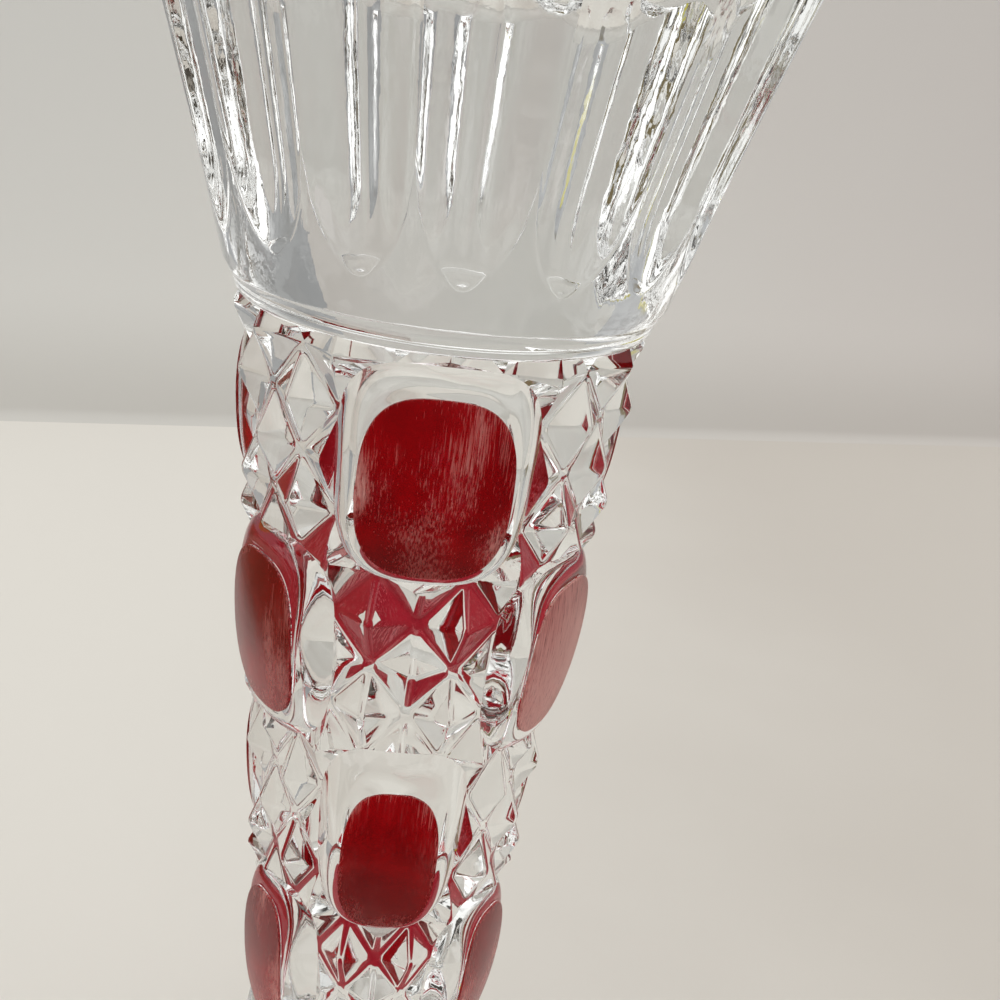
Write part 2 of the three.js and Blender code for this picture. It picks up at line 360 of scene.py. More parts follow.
class StudioSettings(bpy.types.PropertyGroup):
    """Camera, backdrop and light."""

    camera_place: bpy.props.FloatVectorProperty(
        name="Camera", description="Where the camera stands",
        default=(-0.01038, -0.17795, 0.16392), size=3, subtype="TRANSLATION", precision=5)
    camera_yaw: angle("Yaw", 6.4545, "Camera turned from +Y towards +X")
    camera_pitch: angle("Pitch", 19.0755, "Camera tilted down")
    camera_roll: angle("Roll", 7.6747, "Camera turned about its own view")
    camera_lens: plain("Lens", 54.64, "Focal length on a 36 mm sensor, in millimetres")
    wall_distance: length("Backdrop distance", 348.5, "From the axis to the foot of the backdrop")
    wall_turn: angle("Backdrop turn", 14.26, "Backdrop turned about the vertical")
    wall_lean: angle("Backdrop lean", 26, "Backdrop leaning back from the vertical")
    floor_colour: colour("Floor", (0.72, 0.69, 0.64), "Pale floor")
    wall_colour: colour("Backdrop", (0.74, 0.725, 0.69), "Pale backdrop")
    light_strength: plain("Light strength", 1.0, "Brightness of the soft light all round")


class BudVaseSettings(bpy.types.PropertyGroup):
    """Everything a user would change."""

    sizes: bpy.props.PointerProperty(type=VaseSizes, name="Sizes", description="Sizes of the vase")
    glass: bpy.props.PointerProperty(type=GlassFinish, name="Glass", description="Colours and wear")
    studio: bpy.props.PointerProperty(type=StudioSettings, name="Studio", description="Camera and light")


# Shared geometry

def mix(a, b, t):
    return a + (b - a) * t


def on_cylinder(azimuth, radius, z):
    """A point on a cylinder about the axis; azimuths run from -Y towards +X."""
    return Vector((radius * math.sin(azimuth), -radius * math.cos(azimuth), z))


def collar_z(sizes):
    return sizes.foot_height + sizes.row_count * sizes.row_pitch + sizes.stem_top_margin


def vase_height(sizes):
    return collar_z(sizes) + sizes.bowl_height


def stem_taper(sizes):
    stem_length = collar_z(sizes) - sizes.foot_height
    return (sizes.stem_top_radius - sizes.stem_bottom_radius) / stem_length


def groove_radius(sizes, z):
    """Radius of the bottoms of the cut grooves at a height."""
    return sizes.stem_bottom_radius + stem_taper(sizes) * (z - sizes.foot_height)


def curve2(a, b, c, t):
    return a.lerp(b, t).lerp(b.lerp(c, t), t)


def curve3(a, b, c, d, t):
    return curve2(a, b, c, t).lerp(curve2(b, c, d, t), t)


def rolled_sheet(rings, slots=None):
    """Roll a grid into a closed skin through rings of points. A ring of one point is a pole."""
    mesh = bmesh.new()
    columns = max(len(ring) for ring in rings)
    rows = len(rings) - 1
    grid = bmesh.ops.create_grid(mesh, x_segments=columns, y_segments=rows, size=0.5)
    verts = grid["verts"]
    if slots:
        for face in {face for vert in verts for face in vert.link_faces}:
            row = int((face.calc_center_median().y + 0.5) * rows)
            face.material_index = slots[row]
    for vert in verts:
        column = round((vert.co.x + 0.5) * columns) % columns
        ring = rings[round((vert.co.y + 0.5) * rows)]
        vert.co = ring[column % len(ring)]
    bmesh.ops.remove_doubles(mesh, verts=verts, dist=MERGE)
    bmesh.ops.recalc_face_normals(mesh, faces=mesh.faces)
    return mesh


def new_object(name, mesh, materials):
    """Turn a bmesh into an object at the origin, with these material slots."""
    data = bpy.data.meshes.new(name)
    mesh.to_mesh(data)
    mesh.free()
    for material in materials:
        data.materials.append(material)
    made = bpy.data.objects.new(name, data)
    bpy.context.scene.collection.objects.link(made)
    return made


def require_closed(data, name):
    """Stop if a skin has an open or doubled edge."""
    check = bmesh.new()
    check.from_mesh(data)
    loose = [edge for edge in check.edges if len(edge.link_faces) != 2]
    check.free()
    if loose:
        raise RuntimeError(f"{name} has {len(loose)} edges without exactly two faces")


# Stem

def diamond_stem(sizes):
    """Two crossing families of spiral grooves leave four-sided diamonds between them."""
    uneven = random.Random(TIP_SEED)
    half_turn = 2 * math.pi / HALF_STEPS_AROUND
    half_step = sizes.row_pitch / HALF_STEPS_PER_ROW
    last = sizes.row_count * HALF_STEPS_PER_ROW + 1
    rings = []
    for level in range(-1, last + 1):
        z = sizes.foot_height + level * half_step
        groove = groove_radius(sizes, z)
        ring = []
        for k in range(HALF_STEPS_AROUND):
            is_tip = (k + level) % 2 == 0
            height = sizes.diamond_height + uneven.uniform(-TIP_UNEVENNESS, TIP_UNEVENNESS)
            ring.append(on_cylinder(k * half_turn, groove + (height if is_tip else 0), z))
        rings.append(ring)
    bottom = [Vector((0, 0, sizes.foot_height - half_step))]
    top = [Vector((0, 0, sizes.foot_height + last * half_step))]
    mesh = rolled_sheet([bottom, *rings, top])

    def is_crossing(vert):
        radius = math.hypot(vert.co.x, vert.co.y)
        return abs(radius - groove_radius(sizes, vert.co.z)) < CROSSING_SHARE * sizes.diamond_height

    crossings = [vert for vert in mesh.verts if is_crossing(vert)]
    grooves = set(bmesh.ops.connect_verts(mesh, verts=crossings)["edges"])
    weight = mesh.edges.layers.float.new("bevel_weight_edge")
    for edge in mesh.edges:
        low, high = sorted(vert.co.z for vert in edge.verts)
        if edge in grooves:
            edge[weight] = 1.0
        elif bottom[0].z < low - MERGE and high < top[0].z - MERGE:
            edge[weight] = RIDGE_SHARE
    return mesh


# Medallions

class Medallion:
    """A place on the stem, with a matrix from its own across, up and outwards."""

    def __init__(self, sizes, row, k):
        turns = 2 * k + row % 2
        lean = math.atan(stem_taper(sizes))
        self.row = row
        self.name = f"ruby_layer_{row + 1}{'abcdefghijkl'[k]}"
        self.azimuth = turns * math.pi / sizes.medallions_per_row
        self.z = collar_z(sizes) - sizes.stem_top_margin - (row + 0.5) * sizes.row_pitch
        listed = min(row, len(sizes.ruby_drop) - 1)
        self.drop = sizes.ruby_drop[listed]
        self.side_border = sizes.ruby_side_border[listed]
        self.end_border = sizes.ruby_end_border[listed]
        radial = on_cylinder(self.azimuth, 1, 0)
        across = Vector((math.cos(self.azimuth), math.sin(self.azimuth), 0))
        up = radial * math.sin(lean) + Vector((0, 0, math.cos(lean)))
        out = radial * math.cos(lean) - Vector((0, 0, math.sin(lean)))
        origin = on_cylinder(self.azimuth, groove_radius(sizes, self.z) + sizes.medallion_rise, self.z)
        turn = Matrix((across, up, out)).transposed().to_4x4()
        self.matrix = Matrix.Translation(origin) @ turn

    def place(self, across, up, out):
        return self.matrix @ Vector((across, up, out))


def medallions(sizes):
    rows = range(sizes.row_count)
    return [Medallion(sizes, row, k) for row in rows for k in range(sizes.medallions_per_row)]


def cushion(half_width, half_height, squareness):
    """A rounded square as pairs of across and up."""
    points = []
    for k in range(MEDALLION_COLUMNS):
        turn = 2 * math.pi * (k + 0.5) / MEDALLION_COLUMNS
        across = math.copysign(abs(math.cos(turn)) ** (2 / squareness), math.cos(turn))
        up = math.copysign(abs(math.sin(turn)) ** (2 / squareness), math.sin(turn))
        points.append((half_width * across, half_height * up))
    return points


def medallion_half_height(sizes):
    return sizes.row_pitch / 2 + sizes.medallion_overrun


def ruby_half_size(sizes, medallion):
    width = groove_radius(sizes, medallion.z) * math.sin(sizes.medallion_half_angle)
    return width - medallion.side_border, medallion_half_height(sizes) - medallion.end_border


def ruby_ring(sizes, medallion, scale, lift):
    """A ring of the ruby area, shrunk towards its middle and lifted off the domed face."""
    half_width, half_height = ruby_half_size(sizes, medallion)
    ring = []
    for across, from_middle in cushion(half_width * scale, half_height * scale, RUBY_SQUARENESS):
        up = from_middle - medallion.drop
        dome = across ** 2 / (2 * sizes.dome_across) + up ** 2 / (2 * sizes.dome_up)
        ring.append(medallion.place(across, up, lift - dome))
    return ring


def dome_rings(sizes, medallion, lift):
    """Rings from the edge of the domed face to its middle."""
    rings = [ruby_ring(sizes, medallion, 1 - k / DOME_ROWS, lift) for k in range(DOME_ROWS)]
    rings.append(ruby_ring(sizes, medallion, 0, lift)[:1])
    return rings


def outline_ring(sizes, medallion, above, grow=0.0):
    """A ring of the medallion's outline, above the groove bottoms and grown outwards by a distance."""
    radius = groove_radius(sizes, medallion.z)
    half_angle = sizes.medallion_half_angle + grow / radius
    half_height = medallion_half_height(sizes) + grow
    ring = []
    for turn, up in cushion(half_angle, half_height, MEDALLION_SQUARENESS):
        z = medallion.z + up
        ring.append(on_cylinder(medallion.azimuth + turn, groove_radius(sizes, z) + above, z))
    return ring


def flank_rings(sizes, medallion, sunk=0.0, grow=0.0):
    """Rings up the rounded flank, from the outline to just below the domed face's edge."""
    low = outline_ring(sizes, medallion, MEDALLION_LIP - sunk, grow)
    high = ruby_ring(sizes, medallion, 1, -sunk)
    rings = []
    for row in range(FLANK_ROWS):
        t = row / FLANK_ROWS
        ring = []
        for a, c in zip(low, high):
            middle = a.lerp(c, 0.5)
            outwards = middle.xy.normalized() * 2 * FLANK_BULGE
            ring.append(curve2(a, middle + outwards.to_3d(), c, t))
        rings.append(ring)
    return rings


def medallion_body(sizes, medallion):
    root = on_cylinder(medallion.azimuth, groove_radius(sizes, medallion.z) - MEDALLION_ROOT, medallion.z)
    rings = [[root], outline_ring(sizes, medallion, -MEDALLION_ROOT)]
    rings += flank_rings(sizes, medallion)
    dome = dome_rings(sizes, medallion, 0)
    slots = [0] * len(rings) + [1] * (len(dome) - 1)
    return rolled_sheet(rings + dome, slots)


def medallion_clearing(sizes, medallion):
    """What is cut off the diamonds before a medallion is set in, with a drafted side."""
    clear = 2 * (sizes.diamond_height + sizes.medallion_rise)
    far = on_cylinder(medallion.azimuth, groove_radius(sizes, medallion.z) + clear, medallion.z)
    rings = [outline_ring(sizes, medallion, clear, clear * CLEARING_DRAFT)]
    rings += flank_rings(sizes, medallion, CLEARING_SKIN, -CLEARING_INSET)
    rings += dome_rings(sizes, medallion, -CLEARING_SKIN)
    return rolled_sheet([[far], *rings])


# Bowl, foot and hollow

def fluted_ring(sizes, steps, place):
    """A ring with steps points to each flute. place(across) gives a radius and a height."""
    ring = []
    for k in range(sizes.flute_count * steps):
        across = 2 * (k % steps) / steps - 1
        azimuth = (k / steps - 0.5) * 2 * math.pi / sizes.flute_count
        ring.append(on_cylinder(azimuth, *place(across)))
    return ring


def end_arc(across):
    return 1 - math.sqrt(max(0.0, 1 - across ** 2))


def hollow_share(across):
    """Depth across a flute, 1 in its middle and 0 at its ridges, which are a little rounded."""
    softened = math.sqrt((1 - abs(across)) ** 2 + RIDGE_SOFTNESS ** 2) - RIDGE_SOFTNESS
    return 1 - (1 - softened) ** 2


def bowl_wall_radius(sizes, z):
    shoulder = sizes.stem_top_radius + sizes.collar_overhang + SHOULDER_OUT
    t = (z - collar_z(sizes) - SHOULDER_HEIGHT) / (sizes.bowl_height - SHOULDER_HEIGHT)
    t = min(1.0, max(0.0, t))
    middle = mix(shoulder, sizes.mouth_radius, BOWL_BELLY)
    return (1 - t) ** 2 * shoulder + 2 * t * (1 - t) * middle + t ** 2 * sizes.mouth_radius


def bowl_surface(sizes, across, row_share):
    """Radius and height on the bowl's outside, from the flute's end up to the rim."""
    start = collar_z(sizes) + sizes.flute_start
    low = start + sizes.flute_end * end_arc(across)
    high = vase_height(sizes) - sizes.scallop_depth * across ** 2 - LIP_ROUND
    z = mix(low, high, row_share ** BOWL_ROW_CROWDING)
    ridge = bowl_wall_radius(sizes, z)
    full = sizes.flute_depth * ridge * 2 * math.pi / sizes.flute_count
    reached = max(0.0, 1 - (z - start) / sizes.flute_end) ** 2
    return ridge - full * max(0.0, hollow_share(across) - reached), z


def bowl_outside(sizes):
    steps = BOWL_STEPS_PER_FLUTE
    collar = collar_z(sizes)
    collar_radius = sizes.stem_top_radius + sizes.collar_overhang
    rings = [[Vector((0, 0, collar))]]

    def add(place):
        rings.append(fluted_ring(sizes, steps, place))

    for k in range(ROUND_STEPS + 1):
        turn = k / ROUND_STEPS * math.pi / 2
        radius = collar_radius - COLLAR_ROUND * (1 - math.sin(turn))
        add(lambda across: (radius, collar + COLLAR_ROUND * (1 - math.cos(turn))))
    slope = SHOULDER_OUT / (SHOULDER_HEIGHT - COLLAR_ROUND)
    for offset, stands in ((-1, 0), (0, SEAM_STANDS), (1, 0)):
        height = SEAM_HEIGHT + offset * SEAM_WIDTH / 2
        radius = collar_radius + slope * (height - COLLAR_ROUND) + stands
        add(lambda across: (radius, collar + height))
    add(lambda across: (collar_radius + SHOULDER_OUT, collar + SHOULDER_HEIGHT))
    for row in range(BOWL_ROWS + 1):
        add(lambda across: bowl_surface(sizes, across, row / BOWL_ROWS))
    for k in range(1, LIP_STEPS + 1):
        turn = k / LIP_STEPS * math.pi / 2

        def lip(across):
            radius, z = bowl_surface(sizes, across, 1)
            return radius - LIP_ROUND * (1 - math.cos(turn)), z + LIP_ROUND * math.sin(turn)

        add(lip)
    inner = sizes.mouth_radius - sizes.bowl_wall
    add(lambda across: (inner - LIP_ROUND, bowl_surface(sizes, across, 1)[1] + LIP_ROUND))
    rings.append([Vector((0, 0, vase_height(sizes) - sizes.scallop_depth))])
    return rolled_sheet(rings)


def hollow(sizes):
    """Inside of the vase: a rounded cup in the upper part of the bowl, over a solid stem."""
    def inner(z):
        return bowl_wall_radius(sizes, z) - sizes.bowl_wall

    collar = collar_z(sizes)
    floor = collar + sizes.cup_floor
    cup_top = collar + CUP_SIDE_START
    cup = (
        Vector((0, floor)),
        Vector((CUP_FLAT, floor)),
        Vector((inner(cup_top) - CUP_SIDE_DRAW, collar + CUP_SIDE_LOW)),
        Vector((inner(cup_top), cup_top)),
    )
    steps = BOWL_STEPS_PER_FLUTE // 2
    rings = [[Vector((0, 0, floor))]]
    for k in range(1, CUP_ROWS + 1):
        point = curve3(*cup, k / CUP_ROWS)
        rings.append(fluted_ring(sizes, steps, lambda across: tuple(point)))

    def rim(across):
        return vase_height(sizes) - sizes.scallop_depth * across ** 2

    for row in range(1, HOLLOW_WALL_ROWS + 1):
        def wall(across):
            z = mix(cup_top, rim(across) - LIP_ROUND, row / HOLLOW_WALL_ROWS)
            return inner(z), z

        rings.append(fluted_ring(sizes, steps, wall))

    def flare(turn, past_out=0.0, past_up=0.0):
        """A ring on the inner lip, which turns outwards, or past it by two distances."""
        def place(across):
            z = rim(across) - LIP_ROUND
            out = LIP_ROUND * (1 - math.cos(turn)) + past_out
            return inner(z) + out, z + LIP_ROUND * math.sin(turn) + past_up

        return fluted_ring(sizes, steps, place)

    turns = [math.radians(FLARE_DEGREES * k) for k in range(1, FLARE_STEPS + 1)]
    rings += [flare(turn) for turn in turns]
    rings.append(flare(turns[-1], CUT_PAST_OUT, CUT_PAST_UP))
    rings.append([Vector((0, 0, vase_height(sizes) + CUT_PAST_TOP))])
    return rolled_sheet(rings)


def foot_outside(sizes):
    steps = FOOT_STEPS_PER_FLUTE
    neck = sizes.stem_bottom_radius + NECK_OVERHANG
    skirt = (
        Vector((neck, sizes.foot_height - NECK_BAND)),
        Vector((neck + FOOT_SKIRT_SPREAD, sizes.foot_rim_height + FOOT_SKIRT_LIFT)),
        Vector((sizes.foot_radius, sizes.foot_rim_height)),
    )
    rest_outer = sizes.foot_radius - sizes.foot_flute_depth - FOOT_EDGE_ROUND
    rest_inner = rest_outer - sizes.foot_rest_width
    rings = [[Vector((0, 0, sizes.foot_hollow))]]
    for k in range(1, FOOT_HOLLOW_STEPS):
        radius = rest_inner * k / FOOT_HOLLOW_STEPS
        z = sizes.foot_hollow * (1 - (k / FOOT_HOLLOW_STEPS) ** 2)
        rings.append(fluted_ring(sizes, steps, lambda across: (radius, z)))
    rings.append(fluted_ring(sizes, steps, lambda across: (rest_inner, 0)))

    def scalloped(radius, z):
        return fluted_ring(sizes, steps, lambda across:
                           (radius - sizes.foot_flute_depth * hollow_share(across), z))

    for k in range(ROUND_STEPS + 1):
        turn = k / ROUND_STEPS * math.pi / 2
        radius = sizes.foot_radius - FOOT_EDGE_ROUND * (1 - math.sin(turn))
        rings.append(scalloped(radius, FOOT_EDGE_ROUND * (1 - math.cos(turn))))
    for row in range(FOOT_ROWS + 1):
        def place(across):
            ends_at = FOOT_FLUTE_TOP + FOOT_FLUTE_TOP_RISE * end_arc(across)
            t = mix(1, ends_at, row / FOOT_ROWS)
            on = curve2(*skirt, t)
            tangent = ((skirt[1] - skirt[0]).lerp(skirt[2] - skirt[1], t)).normalized()
            run_in = 1 - math.exp(-(t - ends_at) / FOOT_FLUTE_RUN_IN)
            dent = sizes.foot_flute_depth * run_in * hollow_share(across)
            return on.x + dent * tangent.y, on.y - dent * tangent.x

        rings.append(fluted_ring(sizes, steps, place))
    for k in range(NECK_STEPS + 1):
        turn = k / NECK_STEPS * math.pi / 2
        radius = neck - NECK_ROUND * (1 - math.cos(turn))
        z = sizes.foot_height - NECK_ROUND * (1 - math.sin(turn))
        rings.append(fluted_ring(sizes, steps, lambda across: (radius, z)))
    rings.append([Vector((0, 0, sizes.foot_height))])
    return rolled_sheet(rings)


# Shader building

def node(tree, kind, inputs=None, **settings):
    made = tree.nodes.new(kind)
    for name, value in settings.items():
        setattr(made, name, value)
    for socket, value in (inputs or {}).items():
        if isinstance(value, bpy.types.NodeSocket):
            tree.links.new(value, made.inputs[socket])
        else:
            made.inputs[socket].default_value = value
    return made


def maths(tree, operation, a, b=0.0):
    return node(tree, "ShaderNodeMath", {0: a, 1: b}, operation=operation).outputs[0]


def ramp(tree, value, low, high, to_low=0.0, to_high=1.0):
    """Map a value smoothly from one range to another."""
    inputs = {"Value": value, "From Min": low, "From Max": high, "To Min": to_low, "To Max": to_high}
    return node(tree, "ShaderNodeMapRange", inputs, interpolation_type="SMOOTHSTEP").outputs["Result"]


def stretched(tree, source, scale):
    return node(tree, "ShaderNodeMapping", {"Vector": source, "Scale": scale}).outputs["Vector"]


def noise(tree, vector, waves, detail=2.0, roughness=0.5):
    """Noise with a number of waves per metre, or with one each across, across and up."""
    if not isinstance(waves, (int, float)):
        vector, waves = stretched(tree, vector, waves), 1.0
    inputs = {"Vector": vector, "Scale": waves, "Detail": detail, "Roughness": roughness}
    return node(tree, "ShaderNodeTexNoise", inputs).outputs["Fac"]


def blend_colours(tree, amount, a, b):
    inputs = {0: amount}
    for index, value in ((6, a), (7, b)):
        inputs[index] = value if isinstance(value, bpy.types.NodeSocket) else (*value, 1.0)
    return node(tree, "ShaderNodeMix", inputs, data_type="RGBA").outputs[2]


def new_group(name, inputs, outputs):
    """A node group; inputs are names with defaults, and every socket is a float or a vector."""
    group = bpy.data.node_groups.new(name, "ShaderNodeTree")
    for label, default in inputs.items():
        kind = "NodeSocketVector" if default is None else "NodeSocketFloat"
        socket = group.interface.new_socket(label, in_out="INPUT", socket_type=kind)
        if default is not None:
            socket.default_value = default
    for label in outputs:
        group.interface.new_socket(label, in_out="OUTPUT", socket_type="NodeSocketFloat")
    return group, group.nodes.new("NodeGroupInput"), group.nodes.new("NodeGroupOutput")


def pressed_ripple_group():
    """Slow ripples and a finer orange peel, as fire-polished pressed glass has."""
    group, given, result = new_group("pressed_ripple", {"Position": None, "Peel": 0.12}, ["Height"])
    slow = noise(group, given.outputs["Position"], RIPPLE_WAVES, 1.5)
    fine = noise(group, given.outputs["Position"], PEEL_WAVES)
    peel = maths(group, "MULTIPLY", fine, given.outputs["Peel"])
    group.links.new(maths(group, "ADD", slow, peel), result.inputs["Height"])


def handling_marks_group():
    """Fine upright scratches and small specks, from 0 for none to 1."""
    inputs = {"Position": None, "Scratches": 0.5, "Specks": 0.5}
    group, given, result = new_group("handling_marks", inputs, ["Scratches", "Specks"])
    lines = noise(group, given.outputs["Position"], SCRATCH_WAVES, 3.0, 0.65)
    reach = noise(group, given.outputs["Position"], SCRATCHED_AREAS)
    lowered = maths(group, "MULTIPLY", given.outputs["Scratches"], reach)
    over = maths(group, "SUBTRACT", lines, maths(group, "SUBTRACT", SCRATCH_LIMIT, lowered))
    group.links.new(ramp(group, over, 0.0, SCRATCH_FADE), result.inputs["Scratches"])
    dots = noise(group, given.outputs["Position"], SPECK_WAVES, 1.0)
    lowered = maths(group, "MULTIPLY", given.outputs["Specks"], SPECK_LOWERING)
    over = maths(group, "SUBTRACT", dots, maths(group, "SUBTRACT", SPECK_LIMIT, lowered))
    group.links.new(ramp(group, over, 0.0, SPECK_FADE), result.inputs["Specks"])


def new_material(name):
    material = bpy.data.materials.new(name)
    material.use_nodes = True
    tree = material.node_tree
    tree.nodes.clear()
    return material, tree


def surface(tree, kind, inputs):
    """The shader that a material shows."""
    node(tree, "ShaderNodeOutputMaterial", {"Surface": node(tree, kind, inputs).outputs[0]})


def object_position(tree):
    return node(tree, "ShaderNodeTexCoord").outputs["Object"]


def use_group(tree, name, inputs):
    return node(tree, "ShaderNodeGroup", inputs, node_tree=bpy.data.node_groups[name]).outputs


def crystal_material(glass, collar):
    """Clear glass with pressed ripples. At the start of the bowl they grow, and drawn lines appear."""
    material, tree = new_material("clear_crystal")
    position = object_position(tree)
    marks = use_group(tree, "handling_marks", {"Position": position, **CRYSTAL_MARKS})
    height = node(tree, "ShaderNodeSeparateXYZ", {"Vector": position}).outputs["Z"]

    def above_collar(start, below, above):
        low = collar + start
        return ramp(tree, height, low, low + GROW_OVER, below, above)

    drawn = noise(tree, position, DRAWN_LINES, 2.0, 0.6)
    drawn = maths(tree, "MULTIPLY", drawn, above_collar(LINES_FROM, 0.0, BOWL_LINES))
    ripple = use_group(tree, "pressed_ripple", {"Position": position})["Height"]
    waves = maths(tree, "MULTIPLY", ripple, above_collar(WAVES_FROM, 1.0, BOWL_WAVES))
    relief = maths(tree, "ADD", waves, drawn)
    bump = node(tree, "ShaderNodeBump", {"Height": relief, "Distance": glass.ripple_height})
    marked = maths(tree, "MAXIMUM", marks["Scratches"], marks["Specks"])
    haze = noise(tree, position, HAZE_WAVES)
    haze_rough = ramp(tree, haze, 0.45, 0.75, 0.0, HAZE_ROUGHNESS)
    rough = maths(tree, "ADD", maths(tree, "MULTIPLY", marked, MARK_ROUGHNESS), haze_rough)
    tint = blend_colours(tree, ramp(tree, haze, 0.3, 0.8), glass.crystal_colour, HAZE_COLOUR)
    surface(tree, "ShaderNodeBsdfPrincipled", {
        "Base Color": tint, "Roughness": rough, "Normal": bump.outputs["Normal"],
        "IOR": glass.crystal_ior, "Transmission Weight": 1.0})
    return material


def contact_material():
    """Crystal that a ruby layer is fused to: light goes on into the ruby unbent."""
    material, tree = new_material("crystal_under_ruby")
    surface(tree, "ShaderNodeBsdfTransparent", {"Color": (1, 1, 1, 1)})
    return material


def wear_mask(tree, glass):
    """Rubbed and scratched ruby: patches from the piece's own wear attribute, broken by scratches."""
    position = object_position(tree)
    wear = node(tree, "ShaderNodeAttribute", attribute_name="wear").outputs["Fac"]
    grain = noise(tree, position, RUBBED_GRAIN, 4.0, 0.7)
    grained = maths(tree, "ADD", wear, maths(tree, "MULTIPLY", grain, GRAIN_STRENGTH))
    patch = ramp(tree, grained, *RUBBED_FROM)
    marks = use_group(tree, "handling_marks", {"Position": position, **RUBY_MARKS})
    lines = ramp(tree, wear, 0.0, WORN_BY, *CLEAN_AND_WORN_SCRATCHES)
    lines = maths(tree, "MULTIPLY", marks["Scratches"], lines)
    dots = ramp(tree, wear, 0.0, WORN_BY, *CLEAN_AND_WORN_SPECKS)
    dots = maths(tree, "MULTIPLY", marks["Specks"], dots)
    marked = maths(tree, "MAXIMUM", patch, maths(tree, "MAXIMUM", lines, dots))
    return maths(tree, "MULTIPLY", marked, glass.wear), position


def ruby_material(glass):
    material, tree = new_material("ruby_flash")
    worn, position = wear_mask(tree, glass)
    cloud = ramp(tree, noise(tree, position, RUBY_CLOUDS), 0.35, 0.7)
    shaded = [channel * RUBY_SHADE for channel in glass.ruby_colour]
    clean = blend_colours(tree, cloud, glass.ruby_colour, shaded)
    tint = blend_colours(tree, worn, clean, glass.worn_colour)
    rough = ramp(tree, worn, 0.0, 1.0, CLEAN_ROUGHNESS, WORN_ROUGHNESS)
    ripple = use_group(tree, "pressed_ripple", {"Position": position, "Peel": RUBY_PEEL})["Height"]
    relief = maths(tree, "SUBTRACT", ripple, maths(tree, "MULTIPLY", worn, WORN_SINKS))
    bump = node(tree, "ShaderNodeBump", {"Height": relief, "Distance": glass.ripple_height})
    surface(tree, "ShaderNodeBsdfPrincipled", {
        "Base Color": tint, "Roughness": rough, "Normal": bump.outputs["Normal"],
        "IOR": glass.crystal_ior, "Specular IOR Level": RUBY_SPECULAR,
        "Transmission Weight": RUBY_TRANSMISSION})
    return material


def ruby_inside_material(glass):
    """Fused side of a ruby layer: a second filtering, less for what is seen through the crystal."""
    material, tree = new_material("ruby_fused_side")
    worn, _ = wear_mask(tree, glass)
    from_outside = node(tree, "ShaderNodeNewGeometry").outputs["Backfacing"]
    depth = blend_colours(tree, from_outside, BACKLIT_RUBY, glass.ruby_depth)
    tint = blend_colours(tree, worn, depth, WORN_DEPTH)
    surface(tree, "ShaderNodeBsdfTransparent", {"Color": tint})
    return material


def stage_material(name, base, shaded, shade_span, foot_shade):
    """Pale card with painted shade that darkens it towards the right, between two places, and a painted
    shadow at its foot.
    """
    material, tree = new_material(name)
    position = object_position(tree)
    part = node(tree, "ShaderNodeSeparateXYZ", {"Vector": position}).outputs
    # Noise that wobbles where the painted shade begins
    cloud = maths(tree, "SUBTRACT", noise(tree, position, SHADE_EDGE_WAVES, 3.0), 0.5)
    cloud = maths(tree, "MULTIPLY", cloud, SHADE_EDGE_WOBBLE)
    # Painted shade: the card darkens towards the right, between two places
    across = ramp(tree, maths(tree, "ADD", part["X"], cloud), *shade_span)
    tint = blend_colours(tree, across, base, [channel * kept for channel, kept in zip(base, shaded)])
    # Painted shadow: the card takes the shadow's colour towards its foot
    foot = ramp(tree, part["Z"], 0.0, FOOT_SHADOW_HEIGHT, foot_shade, 0.0)
    tint = blend_colours(tree, foot, tint, FOOT_SHADOW)
    surface(tree, "ShaderNodeBsdfPrincipled", {"Base Color": tint, "Roughness": CARD_ROUGHNESS})
    return material


# Operators

class BUDVASE_OT_crystal(bpy.types.Operator):
    """Build the clear crystal body: foot, diamond-cut stem with its medallions, and fluted bowl"""

    bl_idname = "bud_vase.build_crystal"
    bl_label = "Build Crystal Body"

    def execute(self, context):
        settings = context.scene.bud_vase
        sizes = settings.sizes
        pressed_ripple_group()
        handling_marks_group()
        materials = [crystal_material(settings.glass, collar_z(sizes)), contact_material()]
        body = new_object("crystal_vase", diamond_stem(sizes), materials)
        rounding = body.modifiers.new("Rounded grooves", "BEVEL")
        rounding.width = sizes.groove_round
        rounding.segments = BEVEL_STEPS
        rounding.profile = 0.5
        rounding.limit_method = "WEIGHT"
        rounding.use_clamp_overlap = True
        spare = []

        def combine(name, operation, meshes):
            group = bpy.data.collections.new(name)
            context.scene.collection.children.link(group)
            for k, mesh in enumerate(meshes):
                part = new_object(f"{name}_{k}", mesh, materials)
                context.scene.collection.objects.unlink(part)
                group.objects.link(part)
                spare.append(part)
            cut = body.modifiers.new(name, "BOOLEAN")
            cut.solver = "MANIFOLD"
            cut.operation = operation
            cut.operand_type = "COLLECTION"
            cut.collection = group

        places = medallions(sizes)
        combine("clearings", "DIFFERENCE", [medallion_clearing(sizes, place) for place in places])
        combine("medallions", "UNION", [medallion_body(sizes, place) for place in places])
        combine("bowl_and_foot", "UNION", [bowl_outside(sizes), foot_outside(sizes)])
        combine("hollow", "DIFFERENCE", [hollow(sizes)])
        finished = bpy.data.meshes.new_from_object(body.evaluated_get(context.evaluated_depsgraph_get()))
        body.modifiers.clear()
        body.data = finished
        for part in spare:
            bpy.data.objects.remove(part)
        for group in list(context.scene.collection.children):
            context.scene.collection.children.unlink(group)
            bpy.data.collections.remove(group)
        require_closed(finished, body.name)
        finished.shade_smooth()
        finished.set_sharp_from_angle(angle=CRISP_ANGLE)
        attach(body, BODY)
        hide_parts("crystal_body")
        return {"FINISHED"}


